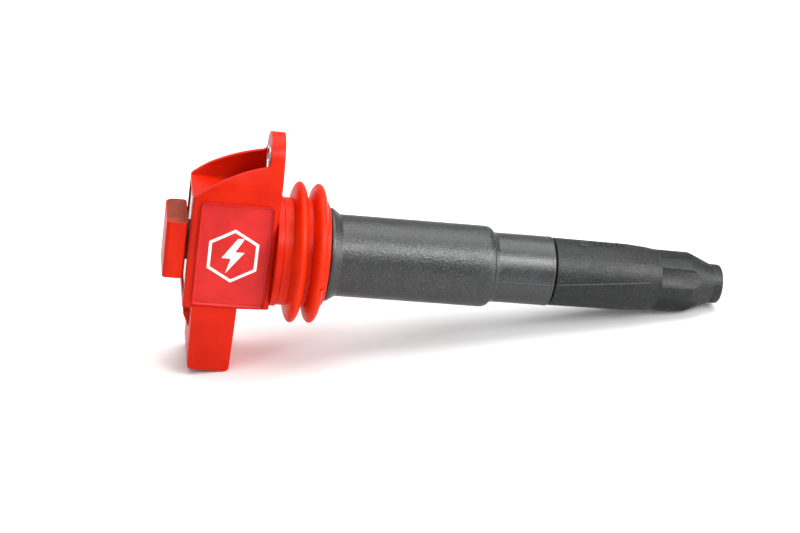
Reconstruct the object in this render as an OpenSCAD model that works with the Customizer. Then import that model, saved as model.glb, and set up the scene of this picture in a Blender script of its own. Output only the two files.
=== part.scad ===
// Ignition coil, coil-on-plug type: a moulded head that bolts down beside the spark plug
// well, a ribbed well seal, a stem that holds the windings, and a rubber boot for the plug.
// The coil axis is X, from the head (-X) to the boot mouth (+X). +Z points to the fixing ear.
// X = 0 is the plane where the head seats on the cylinder head cover.

/* [Head] */
// Length of the head along the coil axis
head_len = 28.5; // [23.5:0.5:36]
// Width of the head across the coil axis
head_w = 24.2; // [20:0.2:30]
// Height of the head's upper deck above the coil axis
head_top = 20.75; // [17.25:0.25:25]
// Depth of the head's underside below the coil axis, at the open end
head_bottom = 17.65; // [14.65:0.05:21.5]
// Rise of the underside from the open end to the seat
head_draft = 1.25; // [0:0.05:2]
// Wall around the head's cup
head_wall = 1.8; // [1.2:0.1:2.6]
// Wall between the cup and the seat
seat_wall = 3; // [2:0.25:5]
// Radius of the head's upright corners
head_corner = 1.2; // [0.4:0.1:2]
// How far the round flange on the seat stands out past the well seal
flange_proud = 0.5; // [0:0.1:3]
// Thickness of the round flange
flange_t = 2; // [1.2:0.1:2.6]
// Radius of the hole through the seat that the supply links pass
passage_r = 8.6; // [7:0.1:10.4]

/* [Gussets and ear] */
// Thickness of each gusset
gusset_t = 1.9; // [1.2:0.1:3]
// Radius of the gussets' curved upper edge
gusset_r = 52; // [30:1:120]
// Height at which the gussets meet the ear
gusset_top = 32; // [26.5:0.1:38.5]
// Thickness of the fixing ear
ear_t = 4.6; // [3:0.1:7]
// Height of the fixing hole above the coil axis
hole_z = 32.2; // [26.8:0.1:38.7]
// Radius of the ear's rounded top
ear_r = 9.1; // [7.5:0.1:11]
// Height up to which the ear is as wide as the head
ear_shoulder_z = 25; // [20:0.5:30]
// Radius of the fillet between a gusset and the ear
ear_fillet = 1.6; // [0.4:0.1:2.4]
// Radius of the fixing bolt's clearance hole
bolt_hole_r = 3.3; // [2.6:0.05:4.3]
// Wall of the steel bushing in the ear
bushing_wall = 1.2; // [0.8:0.1:1.8]

/* [Connector] */
// Length of the connector shroud along the coil axis
shroud_l = 14.8; // [12:0.2:18]
// Width of the connector shroud across the coil axis
shroud_w = 25.2; // [21:0.2:30.4]
// Distance from the coil axis down to the shroud's mouth
shroud_end = 39.7; // [33:0.1:48]
// Distance from the seat back to the shroud
shroud_back = 10.6; // [8.8:0.1:12.8]
// Wall of the connector shroud
shroud_wall = 1.7; // [1.2:0.1:2.4]
// Inward taper of each shroud side towards the mouth
shroud_taper = 0.5; // [0:0.1:1]
// Thickness of the web between the shroud's socket and the head
socket_floor = 2.4; // [1.6:0.1:4]
// Height that the latch ramp stands off the shroud
latch_proud = 1.9; // [1:0.1:2.6]
// Width of the latch ramp
latch_w = 6.4; // [4:0.2:10]
// Length of the latch ramp
latch_l = 5.8; // [4:0.2:8]
// Distance from the coil axis down to the latch shoulder
latch_z = 23.2; // [19.3:0.1:28]
// Number of terminal blades
blades = 4; // [2:1:4]
// Spacing of the terminal blades
blade_pitch = 4.6; // [3:0.1:5.6]
// Width of a terminal blade
blade_w = 1.5; // [0.8:0.1:2.8]
// Thickness of a terminal blade
blade_t = 0.8; // [0.6:0.1:1]
// Length of blade that stands in the socket
blade_reach = 11; // [6:0.5:14]

/* [End box] */
// Length of the small box on the open end, along the coil axis
box_l = 7; // [5.8:0.1:9]
// Width of the small box
box_w = 21; // [14:0.5:25.5]
// Height of the small box
box_h = 19.6; // [14:0.2:24]
// Height of the middle of the small box above the coil axis
box_mid = 1.7; // [-3:0.1:5]
// Gap between the small box and the head's rim
box_gap = 0.5; // [0.4:0.05:3]
// Wall of the small box
box_wall = 1.3; // [0.9:0.05:1.6]
// Wall of the small box at its rim, above the step that the resin covers
box_rim = 0.45; // [0.3:0.05:0.8]
// Radius of the small box's upright corner that is farthest from the label and the head
box_round = 3.2; // [1.5:0.1:4]
// Depth of the resin below the rim of the head
resin_sink = 0.4; // [0.2:0.1:1]

/* [Well seal] */
// Wall of the well seal between its ribs
seal_wall = 4; // [3:0.1:6]
// Height of the rib next to the head
rib_a_proud = 5.6; // [3:0.1:8]
// Height of the rib next to the sleeve
rib_b_proud = 5.3; // [3:0.1:8]
// Distance from the flange to the first rib
rib_x = 5.6; // [4:0.1:8]
// Spacing of the two ribs
rib_pitch = 6.4; // [5.3:0.1:8]
// Width of a rib at its foot
rib_w = 4.5; // [3:0.1:5.4]
// Plain length from the second rib's foot to the seal's end
seal_tail = 1.35; // [0.8:0.05:5]
// Width of the vent notch in the second rib
vent_w = 1.1; // [0.6:0.1:2]

/* [Sleeves] */
// Wall of the head's neck inside the well seal
neck_wall = 1.4; // [1:0.1:2]
// Wall of the upper sleeve's shank inside the neck
shank_wall = 1.2; // [0.8:0.1:2]
// Wall of the upper sleeve around the windings
upper_wall = 2.55; // [2:0.05:4]
// Distance from the seat to the shoulder of the upper sleeve
shoulder_x = 75.4; // [62:0.2:92]
// Height of the collar behind the well seal
collar_proud = 1.95; // [1.4:0.05:3]
// Step down from the upper sleeve to the lower one
shoulder_step = 1.95; // [1.4:0.05:2.6]
// Length of the lower sleeve outside the upper one
lower_len = 19.2; // [15.8:0.2:24]
// Wall of the lower sleeve
lower_wall = 1.5; // [1:0.1:2]
// Wall of the high-voltage tower inside the lower sleeve
tower_wall = 2.4; // [1.4:0.1:3]

/* [Boot] */
// Step down from the lower sleeve to the boot
boot_step = 0.25; // [0:0.05:0.8]
// How much the boot's plain length narrows
boot_taper = 0.75; // [0.4:0.05:1.2]
// Step down from the plain length to the flutes
flute_step = 0.5; // [0.2:0.05:1]
// Length of the boot's plain length
boot_plain = 36; // [30:0.2:44]
// Length of the boot's fluted length
flute_len = 12.2; // [9:0.2:15]
// Number of flutes
flutes = 6; // [4:1:7]
// Depth of a flute
flute_depth = 1.5; // [0.6:0.1:1.8]
// Length of the cone between the flutes and the lip
cone_len = 8.2; // [6:0.2:10]
// Length of the boot's lip
lip_len = 3.7; // [3:0.1:8]
// Wall of the lip
lip_wall = 1.5; // [1.2:0.1:2.2]
// Radius of the bore that takes the plug's insulator
plug_r = 5.2; // [4.3:0.05:6.3]
// Depth of the insulator's bore from the boot's mouth
plug_depth = 26.5; // [22:0.5:34]

/* [Windings] */
// Radius of the laminated core
core_r = 4.6; // [3.8:0.1:5.6]
// Number of laminations in the core
laminations = 11; // [7:2:15]
// Thickness of each core magnet
magnet_t = 3.2; // [2:0.1:4]
// Wall of the secondary bobbin
bobbin_wall = 0.9; // [0.6:0.05:1.2]
// Radial build of the secondary winding
secondary_build = 1.6; // [1:0.1:2]
// Wall of the primary bobbin
former_wall = 1.4; // [0.6:0.1:2]
// Radial build of the primary winding
primary_build = 0.9; // [0.6:0.05:1.2]
// Wall of the steel return shield
shield_t = 0.7; // [0.35:0.05:1]
// Number of ribs that divide the secondary bobbin into chambers
chamber_ribs = 7; // [4:1:9]

/* [Contact] */
// Radius of the sprung contact's cap
contact_r = 3.5; // [2.9:0.1:4.2]
// Wire diameter of the contact spring
wire_d = 0.8; // [0.5:0.1:1]
// Number of turns of the contact spring
spring_turns = 14; // [8:1:17]
// Travel of the sprung contact when a plug pushes it in
contact_travel = 5; // [2:0.5:6]

/* [Hidden] */
$fn = 72;
eps = 0.01;

// Clearances
fit_gap = 0.1;          // between pieces that are pushed together
slide_gap = 0.3;        // around the moving contact
bobbin_gap = 0.25;      // between the core and its bobbin
wire_gap = 0.2;         // between the spring and the tower

// Radii of the windings, from the core outwards
bobbin_in = core_r + bobbin_gap;
bobbin_out = bobbin_in + bobbin_wall;
secondary_out = bobbin_out + secondary_build;
chamber_r = secondary_out + 0.15;
chamber_rib_t = 1;
former_in = chamber_r + 0.2;
primary_in = former_in + former_wall;
primary_out = primary_in + primary_build;
former_flange_r = primary_out + 0.2;
shield_in = primary_out + 0.3;
shield_out = shield_in + shield_t;
shield_slot = 1.2;

// Radii of the sleeves, the seal and the boot, which follow from the windings
upper_bore = shield_out + 0.2;
upper_r = upper_bore + upper_wall;
collar_r = upper_r + collar_proud;
neck_bore = upper_bore + shank_wall + fit_gap;
neck_r = neck_bore + neck_wall;
seal_in = neck_r + fit_gap;
seal_r = seal_in + seal_wall;
rib_a_r = seal_r + rib_a_proud;
rib_b_r = seal_r + rib_b_proud;
flange_r = seal_r + flange_proud;
lower_r = upper_r - shoulder_step;
root_r = lower_r - 1;
shoulder_round = min(2.8, upper_r - root_r - 0.1);
skirt_in = lower_r - lower_wall;
boot_r = lower_r - boot_step;
boot_mid_r = boot_r - 0.22;
boot_end_r = boot_r - boot_taper;
flute_r = boot_end_r - flute_step;
flute_cut_r = 7;
flute_angle = 27;
lip_r = plug_r + lip_wall;

// Radii of the high-voltage path
stud_r = 1.6;
stud_flange_r = 3.4;
spring_r = contact_r - slide_gap - wire_d;
tower_bore = spring_r + wire_d / 2 + wire_gap;
tower_r = tower_bore + tower_wall;
resistor_r = tower_bore - 0.7;
terminal_bore = contact_r + slide_gap;
channel_r = min(spring_r + wire_d / 2 + slide_gap, contact_r - 0.2);

// Places along the coil axis
open_x = -head_len;
floor_x = -seat_wall;
box_x = open_x - box_gap - box_l;
seal_x = flange_t;
rib_a_x = seal_x + rib_x;
rib_b_x = rib_a_x + rib_pitch;
seal_end = rib_b_x + rib_w / 2 + seal_tail;
collar_x = seal_end + 0.3;
collar_len = 1.2;
flare_len = 4;
lower_end = shoulder_x + lower_len;
boot_x = lower_end + 0.5;
flute_x = boot_x + boot_plain;
flute_start = flute_x + 1;
cone_x = flute_x + flute_len;
lip_x = cone_x + cone_len;
boot_end = lip_x + lip_len;
shank_x = flange_t + 0.4;
web_x = shoulder_x - 5;
web_t = 3;
tower_end = lower_end - 2.6;
boot_root_x = web_x + web_t + 0.6;

// Windings along the axis: the core is as long as the sleeve allows
bobbin_x = shank_x + 1.2;
cushion_t = 3;
cushion_x = bobbin_x + 1;
upper_magnet_x = cushion_x + cushion_t;
core_x = upper_magnet_x + magnet_t;
bobbin_floor_t = 1.6;
bobbin_end = web_x - 4.8;
bobbin_floor_x = bobbin_end - bobbin_floor_t;
lower_magnet_x = bobbin_floor_x - magnet_t;
former_x = bobbin_x + 2.6;
former_end = bobbin_floor_x - 0.5;
former_flange = 1.2;
winding_x = bobbin_x + 3.2;
winding_end = bobbin_floor_x - 1.6;
chamber = (winding_end - winding_x) / (chamber_ribs + 1);

// High-voltage path along the axis
resistor_x = web_x + web_t + 1.6;
resistor_cap_t = 1.6;
resistor_len = 12;
resistor_end = resistor_x + resistor_len;
spring_x = resistor_end;
plug_bore_x = boot_end - plug_depth;
cap_len = 6;
cap_end = plug_bore_x - 6;
cap_x = cap_end - cap_len;
terminal_bore_x = cap_x - contact_travel - 1;

// Head and connector
label_t = 0.2;
vent_angle = 8;
cup_z0 = -head_bottom + head_wall + head_draft;
cup_z1 = head_top - head_wall;
cup_w = head_w - 2 * head_wall;
resin_x = open_x + resin_sink;
box_z0 = box_mid - box_h / 2;
box_z1 = box_mid + box_h / 2;
box_sink = 0.15;
box_lip = 1.5;
stem_w = 8;
stem_h = 11;
shroud_x1 = -shroud_back;
shroud_x0 = shroud_x1 - shroud_l;
shroud_mid = (shroud_x0 + shroud_x1) / 2;
socket_z1 = -head_bottom - socket_floor + head_draft;
blade_z0 = socket_z1 - blade_reach;
blade_z1 = cup_z0 + 6;
blade_x = shroud_mid - blade_t / 2;

// Electronics in the head
board_x = floor_x - 8;
board_t = 1;
board_w = cup_w - 4.6;
board_z0 = cup_z0 + 7;
board_z1 = cup_z1 - 2;
spreader_t = 1.2;
spreader_w = board_w - 2;
driver_t = 3;
driver_h = 9;
driver_z0 = 3;
driver_y0 = -board_w / 2 + 2;
driver_y1 = board_w / 2 - 4;
chip_t = 1.6;
chip_h = min(5, driver_z0 - board_z0 - 2);
chip_z0 = board_z0 + 1.5;
link_w = 2;
link_t = 0.6;
link_y = min(passage_r - 3.6, board_w / 2 - 3);
link_z0 = driver_z0 + 0.7;
well_x = board_x - board_t - driver_t - 0.6;
well_w = board_w + 0.6;

function unit(v) = v / norm(v);

// The arc that rounds corner b, on the way from a to c, with radius r.
function corner(a, b, c, r, n) =
    r <= 0 ? [b] :
    let (
        u = unit(a - b),
        v = unit(c - b),
        half = acos(u * v) / 2,
        centre = b + unit(u + v) * r / sin(half),
        s = b + u * r / tan(half) - centre,
        e = b + v * r / tan(half) - centre,
        turn = atan2(s[0] * e[1] - s[1] * e[0], s * e)
    )
    [for (k = [0:n])
        let (t = turn * k / n)
        centre + [s[0] * cos(t) - s[1] * sin(t), s[0] * sin(t) + s[1] * cos(t)]];

// Outline p with corner i rounded by radius r[i].
function rounded(p, r, n = 6) =
    [for (i = [0:len(p) - 1])
        each corner(p[(i + len(p) - 1) % len(p)], p[i], p[(i + 1) % len(p)], r[i], n)];

function box_outline(x0, y0, x1, y1, r) =
    rounded([[x0, y0], [x1, y0], [x1, y1], [x0, y1]], [r, r, r, r]);

// Points of the arc from p to q with radius r, bulging to the left of the way.
function arc_between(p, q, r, n = 14) =
    let (
        half = norm(q - p) / 2,
        along = unit(q - p),
        left = [-along[1], along[0]],
        centre = (p + q) / 2 - left * sqrt(r * r - half * half),
        a0 = atan2(p[1] - centre[1], p[0] - centre[0]),
        a1 = atan2(q[1] - centre[1], q[0] - centre[0])
    )
    [for (k = [0:n]) centre + r * [cos(a0 + (a1 - a0) * k / n), sin(a0 + (a1 - a0) * k / n)]];

// Half-elliptical rib outline, as [x, r] points.
function rib(x, foot_r, crest_r, n = 12) =
    [for (k = [0:n])
        let (t = 180 - 180 * k / n)
        [x + rib_w / 2 * cos(t), foot_r + (crest_r - foot_r) * sin(t)]];

// Solid of revolution about the coil axis from [x, r] points.
module turned(points) {
    rotate([0, 90, 0])
        rotate_extrude()
            polygon([for (p = points) [p[1], p[0]]]);
}

module rod(x0, x1, r) {
    translate([x0, 0, 0])
        rotate([0, 90, 0])
            cylinder(h = x1 - x0, r = r);
}

module tube(x0, x1, r_out, r_in) {
    difference() {
        rod(x0, x1, r_out);
        rod(x0 - 1, x1 + 1, r_in);
    }
}

// Prism across the width from an [x, z] outline.
module across(y0, y1, outline) {
    translate([0, y1, 0])
        rotate([90, 0, 0])
            linear_extrude(y1 - y0)
                polygon(outline);
}

// Upright prism from an [x, y] outline.
module upright(z0, z1, outline) {
    translate([0, 0, z0])
        linear_extrude(z1 - z0)
            polygon(outline);
}

module block(x0, x1, y0, y1, z0, z1) {
    translate([x0, y0, z0])
        cube([x1 - x0, y1 - y0, z1 - z0]);
}

module head_body() {
    across(-head_w / 2, head_w / 2, [
        [open_x, -head_bottom],
        [0, -head_bottom + head_draft],
        [0, head_top],
        [open_x, head_top]]);
}

// Where the ear's straight side runs into its round top, as [y, z].
function ear_touch() =
    let (
        away = [head_w / 2, ear_shoulder_z - hole_z],
        side = atan2(away[1], away[0]) + acos(ear_r / norm(away))
    )
    [ear_r * cos(side), hole_z + ear_r * sin(side)];

// Wall on one side of the deck: curved along its upper edge, and leaning in with the ear.
module gusset(side) {
    foot = [open_x, head_top];
    top = [-ear_t - ear_fillet, gusset_top];
    fillet = [for (k = [0:5])
        [-ear_t - ear_fillet + ear_fillet * sin(18 * k),
         gusset_top + ear_fillet - ear_fillet * cos(18 * k)]];
    touch = ear_touch();
    inner = head_w / 2 - gusset_t;
    wall = [[head_w / 2, head_top - 1], [head_w / 2, ear_shoulder_z], touch,
        [touch[0] - gusset_t, touch[1]], [inner, ear_shoulder_z], [inner, head_top - 1]];
    intersection() {
        across(-head_w / 2 - 1, head_w / 2 + 1, concat(
            arc_between(foot, top, gusset_r),
            fillet,
            [[-ear_t / 2, gusset_top + ear_fillet], [-ear_t / 2, head_top - 2],
             [open_x, head_top - 2]]));
        translate([open_x - 1, 0, 0])
            rotate([90, 0, 90])
                linear_extrude(1 - open_x)
                    polygon([for (p = wall) [side * p[0], p[1]]]);
    }
}

// Ear plate: as wide as the head at its foot, then tangent to its round top.
module ear() {
    foot = [head_w / 2, ear_shoulder_z];
    touch = ear_touch();
    translate([-ear_t, 0, 0])
        rotate([90, 0, 90])
            linear_extrude(ear_t) {
                polygon([[-head_w / 2, head_top - 1], [head_w / 2, head_top - 1], foot, touch,
                    [-touch[0], touch[1]], [-foot[0], foot[1]]]);
                translate([0, hole_z])
                    circle(r = ear_r);
            }
}

module shroud_body() {
    top = -head_bottom + 1.2;
    across(-shroud_w / 2, shroud_w / 2, rounded([
        [shroud_x0, top],
        [shroud_x0 + shroud_taper, -shroud_end],
        [shroud_x1 - shroud_taper, -shroud_end],
        [shroud_x1, top]], [0.5, 1.3, 1.3, 0.5]));
}

module latch_ramp() {
    face = shroud_x0 + 0.4;
    across(-latch_w / 2, latch_w / 2, [
        [face, -latch_z],
        [shroud_x0 - latch_proud, -latch_z],
        [shroud_x0 - latch_proud, -latch_z - 0.8],
        [face, -latch_z - latch_l]]);
}

module socket_space() {
    upright(-shroud_end - 1, socket_z1, box_outline(
        shroud_x0 + shroud_wall, -shroud_w / 2 + shroud_wall,
        shroud_x1 - shroud_wall, shroud_w / 2 - shroud_wall, 1));
}

module blade_set() {
    for (i = [0:blades - 1]) {
        y = (i - (blades - 1) / 2) * blade_pitch;
        block(blade_x, blade_x + blade_t, y - blade_w / 2, y + blade_w / 2, blade_z0, blade_z1);
    }
}

module head_housing() {
    color("#ee3014")
    difference() {
        union() {
            intersection() {
                union() {
                    head_body();
                    gusset(-1);
                    gusset(1);
                    ear();
                }
                upright(-head_bottom - 1, hole_z + ear_r + 1,
                    box_outline(open_x, -head_w / 2, 0, head_w / 2, head_corner));
            }
            rod(0, flange_t, flange_r);
            rod(0, seal_end - 1, neck_r);
            shroud_body();
            latch_ramp();
        }
        block(open_x - 1, floor_x, -cup_w / 2, cup_w / 2, cup_z0, cup_z1);
        rod(floor_x - 1, flange_t + 1, passage_r);
        rod(flange_t, seal_end + 1, neck_bore);
        translate([0, 0, hole_z])
            rod(-ear_t - 1, 1, bolt_hole_r + bushing_wall);
        socket_space();
        blade_set();
    }
}

module head_potting() {
    color("#2b2420")
    difference() {
        union() {
            block(resin_x, floor_x, -cup_w / 2, cup_w / 2, cup_z0, cup_z1);
            block(open_x - box_gap, resin_x + 1, -stem_w / 2, stem_w / 2,
                box_mid - stem_h / 2, box_mid + stem_h / 2);
        }
        block(well_x, floor_x + 1, -well_w / 2, well_w / 2, board_z0 - 0.3, board_z1 + 0.3);
        blade_set();
    }
}

module ear_bushing() {
    color("#c9ccd0")
    translate([0, 0, hole_z])
        tube(-ear_t - 0.3, 0, bolt_hole_r + bushing_wall, bolt_hole_r);
}

module connector_terminals() {
    color("#d8c27a")
    blade_set();
}

// Plan of the small box, moved in from its outside, as [x, y] points.
function box_plan(inset) =
    let (r = max(0.6, 1.4 - inset))
    rounded([
        [box_x + inset, -box_w / 2 + inset],
        [box_x + box_l - inset, -box_w / 2 + inset],
        [box_x + box_l - inset, box_w / 2 - inset],
        [box_x + inset, box_w / 2 - inset]], [r, r, r, max(0.6, box_round - inset)]);

module end_box() {
    color("#ee3014")
    difference() {
        upright(box_z0, box_z1, box_plan(0));
        upright(box_z0 + box_wall, box_z1 + 1, box_plan(box_wall));
        upright(box_z1 - box_lip, box_z1 + 1, box_plan(box_rim));
    }
}

module capacitor_space() {
    block(box_x + box_wall + 0.6, box_x + box_l - box_wall - 0.6, -box_w / 2 + 4, box_w / 2 - 4,
        box_z0 + box_wall, box_z1 - 5);
}

module end_box_resin() {
    color("#a24f3d")
    difference() {
        union() {
            upright(box_z0 + box_wall, box_z1 - box_lip + 0.5, box_plan(box_wall));
            upright(box_z1 - box_lip, box_z1 - box_sink, box_plan(box_rim));
        }
        capacitor_space();
    }
}

module suppression_capacitor() {
    color("#c98a1c")
    capacitor_space();
}

module igniter_board() {
    color("#1f6b3a")
    block(board_x - board_t, board_x, -board_w / 2, board_w / 2, board_z0, board_z1);
}

module driver_transistor() {
    color("#1b1b1d")
    block(board_x - board_t - driver_t, board_x - board_t, driver_y0, driver_y1,
        driver_z0, driver_z0 + driver_h);
}

module control_chip() {
    color("#232326")
    block(board_x - board_t - chip_t, board_x - board_t, driver_y0 + 2.5, driver_y1 - 1.5,
        chip_z0, chip_z0 + chip_h);
}

module heat_spreader() {
    color("#b9bcc0")
    block(board_x, board_x + spreader_t, -spreader_w / 2, spreader_w / 2,
        driver_z0, driver_z0 + driver_h + 1);
}

module supply_links() {
    color("#c4753a")
    for (side = [-1, 1]) {
        y = side * link_y;
        block(board_x + spreader_t, bobbin_x - 0.8, y - link_w / 2, y + link_w / 2,
            link_z0, link_z0 + link_t);
    }
}

module label() {
    color("#e2383a")
    across(-head_w / 2 - label_t, -head_w / 2, box_outline(
        open_x + 2.9, -head_bottom + 1.6, -2, head_top - 0.8, 0.7));
}

module well_seal() {
    tail_r = seal_r - 0.3;
    outline = concat(
        [[seal_x, seal_in], [seal_x, seal_r]],
        rib(rib_a_x, seal_r, rib_a_r),
        rib(rib_b_x, seal_r, rib_b_r),
        corner([rib_b_x, tail_r], [seal_end, tail_r], [seal_end, 0], min(1.2, seal_tail - 0.15), 5),
        [[seal_end, seal_in]]);
    color("#f0350f")
    difference() {
        turned(outline);
        rotate([vent_angle, 0, 0])
            block(rib_b_x + 0.4, rib_b_x + rib_w, -rib_b_r - 1, -seal_r - 1.5,
                -vent_w / 2, vent_w / 2);
    }
}

module upper_sleeve() {
    color("#5a5c5e")
    turned(concat(
        [[shank_x, upper_bore], [shank_x, neck_bore - fit_gap], [collar_x, neck_bore - fit_gap]],
        rounded([
            [collar_x, neck_r - 0.4],
            [collar_x, collar_r],
            [collar_x + collar_len, collar_r],
            [collar_x + flare_len, upper_r],
            [shoulder_x, upper_r],
            [shoulder_x, root_r]], [0, 0.6, 1.5, 2.5, shoulder_round, 0]),
        [[web_x - 0.2, root_r], [web_x - 0.2, upper_bore]]));
}

module lower_sleeve() {
    plug_in_r = root_r - fit_gap;
    fillet = 0.8;
    color("#6c6e70")
    turned(concat(
        [[web_x, stud_r + 0.05], [web_x, plug_in_r], [shoulder_x + eps, plug_in_r]],
        [for (k = [0:4])
            [shoulder_x + eps + fillet - fillet * cos(22.5 * k),
             lower_r + fillet - fillet * sin(22.5 * k)]],
        corner([shoulder_x, lower_r], [lower_end, lower_r], [lower_end, 0], 0.5, 4),
        [[lower_end, skirt_in], [web_x + web_t, skirt_in], [web_x + web_t, tower_r],
         [tower_end, tower_r], [tower_end, tower_bore], [resistor_x - 0.4, tower_bore],
         [resistor_x - 0.4, stud_r + 0.05]]));
}

module return_shield() {
    color("#8d9094")
    difference() {
        tube(former_x, former_end, shield_out, shield_in);
        block(former_x - 1, former_end + 1, -shield_slot / 2, shield_slot / 2,
            0, shield_out + 1);
    }
}

module primary_winding() {
    color("#b5602a")
    tube(former_x + former_flange, former_end - former_flange, primary_out, primary_in);
}

module primary_bobbin() {
    color("#d9d3c4")
    union() {
        tube(former_x, former_end, primary_in, former_in);
        tube(former_x, former_x + former_flange, former_flange_r, former_in);
        tube(former_end - former_flange, former_end, former_flange_r, former_in);
    }
}

module secondary_winding() {
    color("#a8491e")
    for (i = [0:chamber_ribs])
        tube(winding_x + i * chamber + chamber_rib_t / 2,
            winding_x + (i + 1) * chamber - chamber_rib_t / 2, secondary_out, bobbin_out);
}

module secondary_bobbin() {
    color("#3a3733")
    difference() {
        union() {
            rod(bobbin_x, bobbin_end, bobbin_out);
            for (i = [0:chamber_ribs + 1])
                rod(winding_x + i * chamber - chamber_rib_t / 2,
                    winding_x + i * chamber + chamber_rib_t / 2, chamber_r);
        }
        rod(bobbin_x - 1, bobbin_floor_x, bobbin_in);
        rod(bobbin_floor_x - 1, bobbin_end + 1, stud_r + 0.05);
    }
}

module winding_cap() {
    color("#d9d3c4")
    difference() {
        union() {
            rod(bobbin_x - 1, bobbin_x, upper_bore - fit_gap);
            rod(bobbin_x - 0.5, bobbin_x + 1, bobbin_in - 0.05);
        }
        for (side = [-1, 1])
            block(bobbin_x - 2, bobbin_x - 0.8, side * link_y - link_w / 2,
                side * link_y + link_w / 2, link_z0, link_z0 + link_t);
    }
}

module core_cushion() {
    color("#2d2d30")
    rod(cushion_x, upper_magnet_x, core_r);
}

module upper_magnet() {
    color("#75787c")
    rod(upper_magnet_x, core_x, core_r);
}

// Laminated steel: a round pack of flat strips that lie side by side.
module core() {
    pitch = 2 * core_r / laminations;
    score = 0.12;
    color("#9a9da1")
    difference() {
        rod(core_x, lower_magnet_x, core_r);
        for (i = [1:laminations - 1])
            for (side = [-1, 1])
                block(core_x - 1, lower_magnet_x + 1,
                    -core_r + i * pitch - score / 2, -core_r + i * pitch + score / 2,
                    side > 0 ? core_r * sin(acos(-1 + 2 * i / laminations)) - 0.3 : -core_r - 1,
                    side > 0 ? core_r + 1 : -core_r * sin(acos(-1 + 2 * i / laminations)) + 0.3);
    }
}

module lower_magnet() {
    color("#75787c")
    rod(lower_magnet_x, bobbin_floor_x, core_r);
}

module hv_terminal() {
    color("#c9a64b")
    union() {
        rod(bobbin_floor_x + 0.1, resistor_x, stud_r);
        rod(bobbin_end, bobbin_end + 1, stud_flange_r);
    }
}

module suppression_resistor() {
    color("#cfc8b8")
    rod(resistor_x + resistor_cap_t, resistor_end - resistor_cap_t, resistor_r - 0.3);
}

module resistor_caps() {
    color("#c8cbd0")
    union() {
        rod(resistor_x, resistor_x + resistor_cap_t, resistor_r);
        rod(resistor_end - resistor_cap_t, resistor_end, resistor_r);
    }
}

// One ring of the spring's wire, where the helix has turned by a degrees.
function wire_ring(a, pitch, sides) =
    let (x = spring_x + wire_d / 2 + pitch * a / 360)
    [for (k = [0:sides - 1])
        let (t = 360 * k / sides, r = spring_r + wire_d / 2 * cos(t))
        [x + wire_d / 2 * sin(t), r * cos(a), r * sin(a)]];

module contact_spring() {
    sides = 6;
    steps = spring_turns * 12;
    pitch = (cap_x - spring_x - wire_d) / spring_turns;
    rings = [for (i = [0:steps]) wire_ring(360 * spring_turns * i / steps, pitch, sides)];
    color("#d3d6da")
    polyhedron(
        points = [for (r = rings) each r],
        faces = concat(
            [[for (k = [0:sides - 1]) k]],
            [for (i = [0:steps - 1], k = [0:sides - 1])
                [i * sides + k, (i + 1) * sides + k, (i + 1) * sides + (k + 1) % sides,
                 i * sides + (k + 1) % sides]],
            [[for (k = [sides - 1:-1:0]) steps * sides + k]]));
}

module contact_cap() {
    color("#cdb46a")
    turned(concat(
        [[cap_x, 0], [cap_x, contact_r]],
        rounded([[cap_end - 1.4, contact_r], [cap_end, contact_r - 0.4], [cap_end, 0]],
            [0.4, 0.8, 0]),
        [[cap_end, 0]]));
}

module boot() {
    shell = concat(
        [[boot_root_x, tower_r + fit_gap], [boot_root_x, skirt_in - fit_gap],
         [boot_x, skirt_in - fit_gap]],
        rounded([
            [boot_x, boot_r - 0.5],
            [boot_x, boot_r],
            [boot_x + boot_plain * 0.72, boot_mid_r],
            [flute_x - 3, boot_end_r],
            [flute_x, flute_r],
            [cone_x, flute_r - 0.15],
            [lip_x, lip_r],
            [boot_end, lip_r],
            [boot_end, plug_r + 0.5]], [0, 0.5, 9, 4, 1.2, 2.6, 1.4, 1.1, 0]),
        [[boot_end, plug_r + 0.45], [boot_end - 0.6, plug_r], [plug_bore_x, plug_r],
         [plug_bore_x, terminal_bore], [terminal_bore_x, terminal_bore],
         [terminal_bore_x, channel_r], [tower_end + 0.3, channel_r],
         [tower_end + 0.3, tower_r + fit_gap]]);
    color("#454749")
    difference() {
        turned(shell);
        for (i = [0:flutes - 1])
            rotate([-360 * i / flutes - flute_angle, 0, 0])
                translate([0, -flute_r + flute_depth - flute_cut_r, 0])
                    rod(flute_start, lip_x + 8, flute_cut_r);
    }
}

head_housing();
head_potting();
ear_bushing();
connector_terminals();
end_box();
end_box_resin();
suppression_capacitor();
igniter_board();
driver_transistor();
control_chip();
heat_spreader();
supply_links();
label();
well_seal();
upper_sleeve();
lower_sleeve();
return_shield();
primary_winding();
primary_bobbin();
secondary_winding();
secondary_bobbin();
winding_cap();
core_cushion();
upper_magnet();
core();
lower_magnet();
hv_terminal();
suppression_resistor();
resistor_caps();
contact_spring();
contact_cap();
boot();
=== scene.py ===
"""Looks of a coil-on-plug ignition coil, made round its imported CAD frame.

The coil lies on its side on a pale bench: the tip of its connector socket and the belly of
its rubber boot touch the bench. Every piece is built in metres in the CAD frame, X along the
coil axis from the head to the boot's mouth, Z towards the fixing ear.
"""

import logging
import math
from collections.abc import Callable, Iterable
from dataclasses import dataclass

import bpy
from mathutils import Matrix, Vector


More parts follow.
